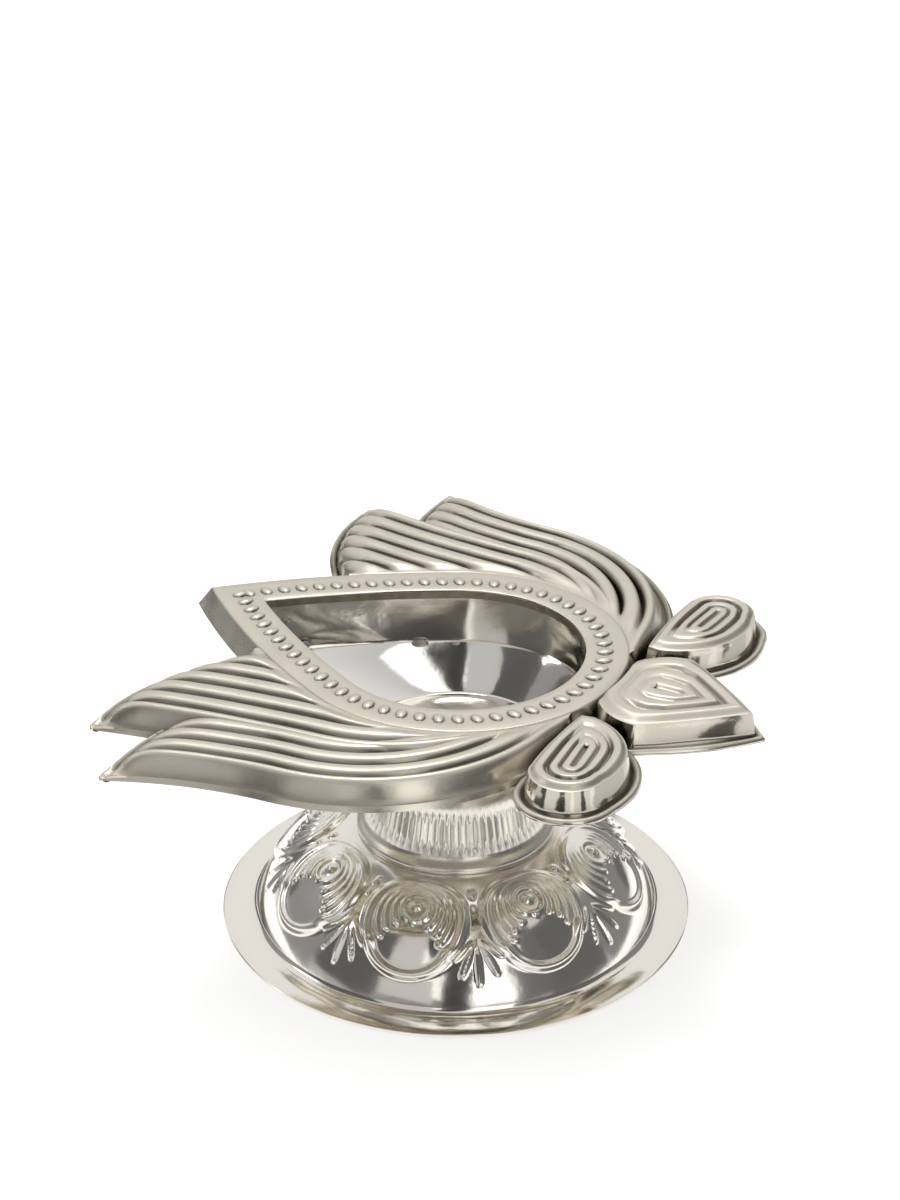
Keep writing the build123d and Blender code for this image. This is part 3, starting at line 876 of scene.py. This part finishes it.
middle_half = arc_through(MIDDLE_ROOT, MIDDLE_HAUNCH, MIDDLE_WIDEST, steps=18)
middle_half += arc_through(MIDDLE_WIDEST, MIDDLE_FLANK, MIDDLE_TIP, steps=28)
middle_outline = middle_half + [MIDDLE_TIP] + list(map(mirrored, middle_half[:0:-1]))
middle_outline += line_to(mirrored(MIDDLE_ROOT), MIDDLE_ROOT, steps=10)

side_outline = arc_through(SIDE_INNER_ROOT, SIDE_INNER_MID, SIDE_INNER_END, steps=24)
side_outline += arc_through(SIDE_INNER_END, SIDE_TIP, SIDE_OUTER_END, steps=30)
side_outline += arc_through(SIDE_OUTER_END, SIDE_OUTER_MID, SIDE_OUTER_ROOT, steps=32)
side_outline += line_to(SIDE_OUTER_ROOT, SIDE_INNER_ROOT, steps=4)
print("points:", len(middle_outline), len(side_outline))

# %% [markdown]
# ## Surface of the sepals
# Each sepal is pressed up in steps: flange, wall, a round outer ridge, a groove, an inner ridge and a
# short dash in the middle. Every row of the grid is the outline drawn in by a share of the way to a line
# down the middle, so ridges follow the outline and never cross.

# %% Sepals
SIDE_SPINE = ((8.0, 1.9), (12.6, 1.6))
MIDDLE_SPINE = ((26.6, 0.0), (29.8, 0.0))
SEPAL_CROWN = lotus_high.z / MM - 0.05
# Inset from the outline, and height over the flange's underside
SEPAL_LIP = ((-1.3, 0.25), (-1.26, 0.55), (-1.05, 0.82), (-0.7, 0.9), (-0.35, 0.74), (-0.12, 0.52))
SEPAL_WALL = SEPAL_LIP + ((0.02, 0.66), (0.14, 1.4), (0.26, 2.5), (0.4, 3.1))
SEPAL_TOP_FROM = 0.1
SEPAL_ROWS = 44
SEPAL_SHEET = 0.42
# Share of the way in, half width as a share, and depth
SEPAL_GROOVES = ((0.41, 0.09, 0.5), (0.71, 0.065, 0.3), (1.0, 0.085, 0.34))
GROOVE_SHOULDER = (0.2, 0.1)
EDGE_ROUND = 0.65
EDGE_ROUND_SHARE = 0.2
CUT_AT_ROOT = 0.25
CUT_GROWS = (1.5, 6.0)
SINK_REACH = 1.2
SINK_DROP = 0.6


def sepal_height(share, cut):
    """Height of a sepal's top from edge to middle, with grooves cut to a share of their depth."""
    swell = EDGE_ROUND * (1 - fade(share, 0.0, EDGE_ROUND_SHARE))
    dent = 0.0
    for place, half_width, depth in SEPAL_GROOVES:
        dent += ridge(share - place, half_width, depth * cut) + ridge(share - place, *GROOVE_SHOULDER)
    return SEPAL_CROWN - swell - dent


def sepal(name, outline, spine, turn, root):
    """Lay the outline's rows, drawn in towards the spine, and turn the sepal to its place."""
    rows = [[] for _ in range(len(SEPAL_WALL) + SEPAL_ROWS + 1)]
    first, last = map(Vector, spine)
    run = last - first
    nearest = min(x for x, _ in outline)
    for point in outline:
        edge = Vector(point)
        share = (edge - first).dot(run) / run.length_squared
        middle = first + run * min(1, max(0, share))
        reach = (middle - edge).length
        inward = (middle - edge) / reach
        cut = CUT_AT_ROOT + (1 - CUT_AT_ROOT) * fade(edge.x - nearest, *CUT_GROWS)
        insets = list(SEPAL_WALL)
        start = SEPAL_WALL[-1][0] + SEPAL_TOP_FROM
        for step in range(SEPAL_ROWS + 1):
            share = step / SEPAL_ROWS
            insets.append((start + (reach - start) * share, sepal_height(share, cut) - FLANGE_UNDER))
        for row, (inset, height) in zip(rows, insets):
            place = edge + inward * inset
            place_x = root[0] + place.x * cos(turn) - place.y * sin(turn)
            place_y = root[1] + place.x * sin(turn) + place.y * cos(turn)
            sunk = 1 - fade(growth_at(place_x, place_y) - DECK_WIDTH, 0.0, SINK_REACH)
            level = FLANGE_UNDER + height
            level = min(level, level + (DECK_UNDER - SINK_DROP - level) * sunk)
            row.append((place_x, place_y, level))
    piece = laid(name, [row + row[:1] for row in rows])
    face_up(piece)
    thicken(piece, SEPAL_SHEET)
    smooth(piece, PETAL_CREASE)
    return piece


far_outline = list(map(mirrored, side_outline))
far_spine = list(map(mirrored, SIDE_SPINE))
sepals = [
    sepal("middle_sepal", middle_outline, MIDDLE_SPINE, 0, (0, 0)),
    sepal("near_sepal", side_outline, SIDE_SPINE, -SIDE_BEARING, mirrored(SIDE_ROOT)),
    sepal("far_sepal", far_outline, far_spine, SIDE_BEARING, SIDE_ROOT),
]
print("sepals:", [leaf.name for leaf in sepals])

# %% [markdown]
# ## Joining the lotus
# Between the sepals and the rim the sheet lies low. A flat ring closes that groove, so nothing shows
# through, and then the lotus becomes one piece, as it is one sheet on the real lamp.

# %% Lotus
GROOVE_DROP = 1.7
GROOVE_WIDTH = 3.0
PLATE_LAP = 1
PLATE_STEPS = 96

GROOVE_TOP = DECK_TOP - GROOVE_DROP
RIM_RADIUS = MOUTH_RADIUS + DECK_WIDTH
plate_section = [
    (RIM_RADIUS - PLATE_LAP, GROOVE_TOP - SHEET),
    (RIM_RADIUS + GROOVE_WIDTH, GROOVE_TOP - SHEET),
    (RIM_RADIUS + GROOVE_WIDTH, GROOVE_TOP),
    (RIM_RADIUS - PLATE_LAP, GROOVE_TOP),
]
plate = turned("groove_plate", plate_section, PLATE_STEPS)
bpy.ops.transform.translate(value=(MOUTH_CENTRE_X * MM, 0, 0))
smooth(plate, SHEET_CREASE)
lotus = joined("pressed_lotus", [rim, plate] + beads + wings + sepals)
stands_for(lotus, "polished_white_metal", "lotus_shell")

# %% [markdown]
# ## Finishes
# All the sheet is one white metal, a copper alloy with nickel or a silver plate. What differs is the
# surface: pressed tops keep a fine satin from the die, walls and plain parts are buffed to a mirror, and
# punched metal lies between. Old polishing paste stays dark in the grooves, and the same dark tint is
# painted shade in creases and on the slopes between ribs.


# %% Material helpers
def hex_colour(code):
    """An sRGB hex colour as linear red, green, blue and alpha."""
    parts = [int(code[place:place + 2], 16) / 255 for place in (1, 3, 5)]
    return [part / 12.92 if part <= 0.04045 else ((part + 0.055) / 1.055) ** 2.4 for part in parts] + [1]


def new_material(name):
    material = bpy.data.materials.new(name)
    material.use_nodes = True
    material.node_tree.nodes.clear()
    return material


def add(material, kind, settings=None, **links):
    """Add a node, set its values, and link its inputs, by name or as i0, i1 and so on, to outputs."""
    node = material.node_tree.nodes.new("ShaderNode" + kind)
    for key, value in (settings or {}).items():
        if isinstance(key, str) and hasattr(node, key):
            setattr(node, key, value)
        else:
            node.inputs[key].default_value = value
    for key, source in links.items():
        place = int(key[1:]) if key[1:].isdigit() else key.replace("_", " ")
        material.node_tree.links.new(source, node.inputs[place])
    return node


def finish(piece, *materials):
    piece.data.materials.clear()
    for material in materials:
        piece.data.materials.append(material)


# %% [markdown]
# ### White metal
# One recipe serves all the sheet. Roughness goes from mirror to satin by how far the metal faces up or was
# worked, and clouds of wear vary it. Shut-in places take a dark tint: partly old polishing paste, partly
# painted shade that darkens creases and the slopes between ribs. Two bumps disturb the reflections: a slow
# sway from the hammer and a fine grain from the buff. Sockets 1 to 4 of a map are the range it reads and
# the range it gives. A colour mix has its colours on sockets 6 and 7 and its result on output 2.

# %% White metal
# Sizes in millimetres. Real buffing grain is finer, and is drawn this coarse so that it shows.
CLOUD_SIZE = 5.5
SWAY_SIZE = 9
SWAY_HEIGHT = 0.5
GRAIN_SIZE = 0.7
GRAIN_HEIGHT = 0.06
FACING = (0.3, 0.75)
WEAR = {1: 0.3, 2: 0.7, 3: 0.8, 4: 1.25}
# How shut in a place is, mapped to how much of its own colour shows under the dark tint of polishing paste
# and painted shade
POLISH_AND_SHADE_RANGE = {1: 0.35, 2: 0.95, 3: 0.0, 4: 1.0}


def white_metal(name, code, polish_and_shade, satin, mirror, reach, worked=None):
    """White metal: mirror walls, satin where it faces up or was worked, polishing paste and painted shade
    in grooves.
    """
    material = new_material(name)
    place = add(material, "TexCoord")
    spot = place.outputs["Object"]
    if worked:
        mark = add(material, "Attribute", {"attribute_name": worked})
        dull = add(material, "MapRange", {3: mirror, 4: satin}, i0=mark.outputs["Fac"])
    else:
        facing = add(material, "SeparateXYZ", i0=place.outputs["Normal"])
        shades = {1: FACING[0], 2: FACING[1], 3: mirror, 4: satin}
        dull = add(material, "MapRange", shades, i0=facing.outputs["Z"])
    cloud = add(material, "TexNoise", {"Scale": 1 / (CLOUD_SIZE * MM), "Detail": 3.0}, Vector=spot)
    wear = add(material, "MapRange", WEAR, i0=cloud.outputs["Fac"])
    roughness = add(material, "Math", {"operation": "MULTIPLY"}, i0=dull.outputs[0], i1=wear.outputs[0])
    # Ambient occlusion darkens the colour where the metal is shut in: partly polishing paste, partly
    # painted shade in creases and on rib slopes, out to the given reach
    polish_and_shade_ao = add(material, "AmbientOcclusion", {"samples": 8, "only_local": True, "Distance": reach * MM})
    share_free_of_polish_and_shade = add(material, "MapRange", POLISH_AND_SHADE_RANGE, i0=polish_and_shade_ao.outputs["AO"])
    colours = {"data_type": "RGBA", 6: hex_colour(polish_and_shade), 7: hex_colour(code)}
    tint = add(material, "Mix", colours, i0=share_free_of_polish_and_shade.outputs[0])
    grain = add(material, "TexNoise", {"Scale": 1 / (GRAIN_SIZE * MM)}, Vector=spot)
    fine = {"Strength": 0.1, "Distance": GRAIN_HEIGHT * MM}
    buffed = add(material, "Bump", fine, Height=grain.outputs["Fac"])
    sway = add(material, "TexNoise", {"Scale": 1 / (SWAY_SIZE * MM), "Detail": 1.5}, Vector=spot)
    slow = {"Strength": 0.45, "Distance": SWAY_HEIGHT * MM}
    bump = add(material, "Bump", slow, Height=sway.outputs["Fac"], Normal=buffed.outputs[0])
    looks = {"Base_Color": tint.outputs[2], "Roughness": roughness.outputs[0], "Normal": bump.outputs[0]}
    metal = add(material, "BsdfPrincipled", {"Metallic": 1.0}, **looks)
    add(material, "OutputMaterial", Surface=metal.outputs[0])
    return material


# Pressed: pale satin tops, bright walls, and grooves dark with polishing paste and painted shade.
# Its base colour is a painted shade, darker than the foot's on the same alloy
pressed = white_metal("pressed_white_metal_painted_darker", "#D8D1C3", "#574F42", satin=0.38, mirror=0.1, reach=2.2)
# Chased: near-white, a painted lighter tone of the same alloy, with crisp mirrors between softer punched
# ridges
chasing = dict(satin=0.19, mirror=0.12, reach=1.0, worked="dulled")
finish(foot, white_metal("chased_white_metal_painted_lighter", "#F7F3EA", "#A69C89", **chasing))
# Fluted: an even soft gleam, because fine flutes are hard to buff
fluted = white_metal("fluted_white_metal", "#EFEAE0", "#A89E8C", satin=0.3, mirror=0.25, reach=1.0)
finish(neck, fluted)
# Spun: the clearest mirror, inside the bowl
spun = white_metal("spun_white_metal", "#F3F0EA", "#6B6354", satin=0.11, mirror=0.1, reach=1.2)
finish(bowl_dish, spun)
finish(bowl_wall, spun)
print("finishes:", bpy.data.materials.keys())

# %% [markdown]
# ### Cut edge
# The rim's inner lip is where the sheet was cut and turned down. Nobody polishes there, so it stays grey
# and rough. Its faces are picked by their place and get the lotus's second material.

# %% Cut edge
SHEAR_SIZE = 1.4
SKIN_HEIGHT = 0.1
LIP_REACH = 0.05
LIP_FROM = 0.2


def rough_metal(name, dark, light, roughness, grain, detail):
    """Metal as it was cut or as it set: mottled and dull, with a skin that breaks up reflections."""
    material = new_material(name)
    place = add(material, "TexCoord")
    marks = {"Scale": 1 / (grain * MM), "Detail": detail}
    skin = add(material, "TexNoise", marks, Vector=place.outputs["Object"])
    colours = {"data_type": "RGBA", 6: hex_colour(dark), 7: hex_colour(light)}
    shade = add(material, "Mix", colours, i0=skin.outputs["Fac"])
    uneven = {"Strength": 0.3, "Distance": SKIN_HEIGHT * MM}
    bump = add(material, "Bump", uneven, Height=skin.outputs["Fac"])
    dull = {"Metallic": 1.0, "Roughness": roughness}
    metal = add(material, "BsdfPrincipled", dull, Base_Color=shade.outputs[2], Normal=bump.outputs[0])
    add(material, "OutputMaterial", Surface=metal.outputs[0])
    return material


# Sheared: a dull grey band, seen as a dark line round the mouth
shear_looks = dict(roughness=0.5, grain=SHEAR_SIZE, detail=3.0)
finish(lotus, pressed, rough_metal("cut_white_metal", "#6F675A", "#A39A8A", **shear_looks))
lip_faces = 0
for face in lotus.data.polygons:
    x, y, z = face.center / MM
    face.material_index = int(growth_at(x, y) < LIP_REACH and z < DECK_TOP - LIP_FROM)
    lip_faces += face.material_index
print("cut lip:", lip_faces, "faces")

# %% [markdown]
# ## Solder
# Solder ran inside the bowl and left a few flat drips on the wall and at the seam. Each is a ball pressed
# flat, drawn out below, and turned to lie against the wall.

# %% Drips of solder
# Place in plan and height of each drip on the bowl's inside, and its half width
DRIPS = (
    (-11.4, 11.9, 28.8, 1.5),
    (-7.3, 14.1, 28.9, 0.9),
    (-25.5, 2.1, 33.6, 0.7),
    (-23.6, 3.55, 30.0, 0.9),
)
DRIP_FLAT = (1, 0.3, 0.62)
DRIP_TAIL = (0.62, 0.8, 1.25)
DRIP_TAIL_FROM = -0.1
PROBE = 0.5

drips = []
for x, y, z, half_width in DRIPS:
    deselect()
    bpy.ops.mesh.primitive_uv_sphere_add(segments=16, ring_count=10, radius=half_width * MM)
    drip = named("drip")
    mode("EDIT")
    bpy.ops.transform.resize(value=DRIP_FLAT)
    mesh = bmesh.from_edit_mesh(drip.data)
    for vertex in mesh.verts:
        vertex.select_set(vertex.co.z < DRIP_TAIL_FROM * half_width * MM)
    mesh.select_flush_mode()
    bmesh.update_edit_mesh(drip.data)
    bpy.ops.transform.resize(value=DRIP_TAIL)
    mode("OBJECT")
    ahead = growth_at(x + PROBE, y) - growth_at(x - PROBE, y)
    aside = growth_at(x, y + PROBE) - growth_at(x, y - PROBE)
    drip.rotation_euler.z = atan2(aside, ahead) - pi / 2
    drip.location = Vector((x, y, z)) * MM
    bpy.ops.object.transform_apply(location=True, rotation=True, scale=True)
    smooth(drip, BALL_CREASE)
    drips.append(drip)
solder_drips = joined("solder_drips", drips)
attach(solder_drips, "root")
print(len(drips), "drips of solder")

# %% [markdown]
# ### Soft solder
# The four seams keep their plain shapes from the model. Soft solder sets with a dull, grainy skin, so it
# takes the recipe of the cut edge in a paler grey.

# %% Soft solder
SKIN_SIZE = 1.1

# Solder: duller and darker than the sheet, with a grainy skin
solder = rough_metal("soft_solder", "#8F8B84", "#B9B5AE", roughness=0.38, grain=SKIN_SIZE, detail=4.0)
finish(solder_drips, solder)
seams = [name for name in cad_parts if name.startswith("solder_")]
for name in seams:
    finish(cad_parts[name], solder)
print("soft solder on", seams)

# %% [markdown]
# ## Floor
# Polished metal shows what stands round it, so the stage is built as a photographer does for silver. Its
# white floor glows a little for the camera and in reflections, and still takes the lamp's shadow.

# %% Floor
FLOOR_SIZE = 4.0
FLOOR_GLOW = 0.27

deselect()
bpy.ops.mesh.primitive_plane_add(size=FLOOR_SIZE)
floor = named("floor")
paint = new_material("white_floor")
matt = add(paint, "BsdfDiffuse", {"Color": hex_colour("#F2F2F2")})
path = add(paint, "LightPath")
most = {"operation": "MAXIMUM"}
seen = add(paint, "Math", most, i0=path.outputs["Is Camera Ray"], i1=path.outputs["Is Glossy Ray"])
through = add(paint, "Math", most, i0=seen.outputs[0], i1=path.outputs["Is Transmission Ray"])
strength = add(paint, "Math", {"operation": "MULTIPLY", 1: FLOOR_GLOW}, i0=through.outputs[0])
light = add(paint, "Emission", Strength=strength.outputs[0])
both = add(paint, "AddShader", i0=matt.outputs[0], i1=light.outputs[0])
add(paint, "OutputMaterial", Surface=both.outputs[0])
finish(floor, paint)
print("floor:", FLOOR_SIZE, "m wide")

# %% [markdown]
# ## Cards and mats
# Dark and white boards give the metal its blocks of light and shade. Cards stand in a ring round the lamp,
# where walls, ribs and the bowl see them. Mats lie on the floor, where the drafted sides of petals and
# sepals look down. Only reflections see them, and they stay where they are when the camera moves.

# %% Cards and mats
CARD_REACH = 0.75
MAT_LIFT = 0.3
MAT_STEP = 0.1


def card(name, place, turn, size, shade):
    """A board that only reflections see, with an even shade between black and white."""
    deselect()
    bpy.ops.mesh.primitive_plane_add(size=1)
    board = named(name)
    board.location = place
    board.rotation_euler = turn
    board.scale = (*size, 1)
    board.visible_camera = False
    board.visible_shadow = False
    board.visible_diffuse = False
    paint = new_material(name)
    even = add(paint, "Emission", {"Strength": shade})
    add(paint, "OutputMaterial", Surface=even.outputs[0])
    finish(board, paint)


# Bearing from the camera's side, height above the floor, width and height in degrees, and shade
CARDS = (
    (-106, 16, 44, 44, 0.26),
    (-64, 30, 40, 48, 0.1),
    (-28, 32, 32, 44, 0.55),
    (-10, 30, 6, 30, 1.1),
    (1, 34, 16, 52, 0.04),
    (21, 36, 24, 52, 1.35),
    (43, 32, 20, 50, 0.14),
    (70, 24, 40, 54, 0.12),
    (-140, 6, 36, 14, 0.12),
    (140, 6, 36, 14, 0.12),
    (180, 5, 24, 8, 0.2),
    (112, 18, 44, 44, 0.22),
)
for bearing, rise, width, height, shade in CARDS:
    way = toward(VIEW_AZIMUTH + radians(bearing), radians(rise))
    size = [2 * CARD_REACH * tan(radians(side) / 2) for side in (width, height)]
    card("card_%d" % bearing, way * CARD_REACH, way.to_track_quat("Z", "Y").to_euler(), size, shade)

# Bearing in degrees, distance, width and length in millimetres, and shade. Later mats lie higher.
MATS = (
    (0, 190, 520, 280, 0.95),
    (-58, 170, 50, 200, 0.08),
    (-10, 170, 54, 220, 0.06),
    (14, 180, 24, 220, 1.3),
    (36, 170, 26, 200, 0.1),
    (58, 180, 36, 220, 1.2),
    (76, 180, 40, 220, 0.1),
    (180, 210, 560, 320, 0.72),
    (-108, 210, 220, 260, 0.72),
    (108, 210, 220, 260, 0.72),
    (-150, 180, 40, 220, 0.1),
    (150, 180, 40, 220, 0.1),
    (-100, 180, 40, 220, 0.12),
    (120, 180, 40, 220, 0.9),
)
for number, (bearing, reach, width, length, shade) in enumerate(MATS):
    turn = VIEW_AZIMUTH + radians(bearing)
    place = Vector((sin(turn) * reach, -cos(turn) * reach, MAT_LIFT + MAT_STEP * number)) * MM
    card("mat_%d" % bearing, place, (0, 0, turn), (width * MM, length * MM), shade)
print(len(CARDS), "cards and", len(MATS), "mats")

# %% [markdown]
# ## Lamps
# Two small soft lights, one overhead from behind and one from the left, give the satin tops a sheen and
# the lamp a soft shadow. The boards and the surround do the rest.

# %% Lamps
# Name, place and width in metres, and watts
LAMPS = (
    ("overhead_softbox", (-0.15, 0.25, 0.85), 0.3, 1.3),
    ("left_softbox", (-0.75, -0.25, 0.55), 0.25, 0.8),
)
for name, place, size, watts in LAMPS:
    deselect()
    bpy.ops.object.light_add(type="AREA", location=place)
    light = named(name)
    light.data.shape = "SQUARE"
    light.data.size = size
    light.data.energy = watts
    light.rotation_euler = (Vector(place) - aim).to_track_quat("Z", "Y").to_euler()
print(len(LAMPS), "lamps")

# %% [markdown]
# ## Surround
# The surround is brightest behind the lamp, grey overhead and dim behind the camera, so flat tops read
# pale and the slopes that face the front read grey. Only reflections see that: all else gets even white.

# %% Surround
OVERHEAD = 0.65
FALL_OFF = {1: -0.9, 2: 0.9, 3: 0.16, 4: 0.82}

world = bpy.data.worlds.new("studio_surround")
bpy.context.scene.world = world
world.use_nodes = True
world.node_tree.nodes.clear()
direction = add(world, "TexCoord")
behind = {"operation": "DOT_PRODUCT", 1: (-back.x, -back.y, OVERHEAD)}
away = add(world, "VectorMath", behind, i0=direction.outputs["Generated"])
fall = add(world, "MapRange", FALL_OFF, i0=away.outputs["Value"])
path = add(world, "LightPath")
# Sockets 2 and 3 of a number mix are what it gives at 0 and at 1
even = {"data_type": "FLOAT", 2: 1.0}
strength = add(world, "Mix", even, i0=path.outputs["Is Glossy Ray"], i3=fall.outputs[0])
sky = add(world, "Background", {"Color": hex_colour("#FFFFFF")}, Strength=strength.outputs[0])
add(world, "OutputWorld", Surface=sky.outputs[0])

bpy.context.scene.view_settings.view_transform = "Standard"
print("world:", world.name)
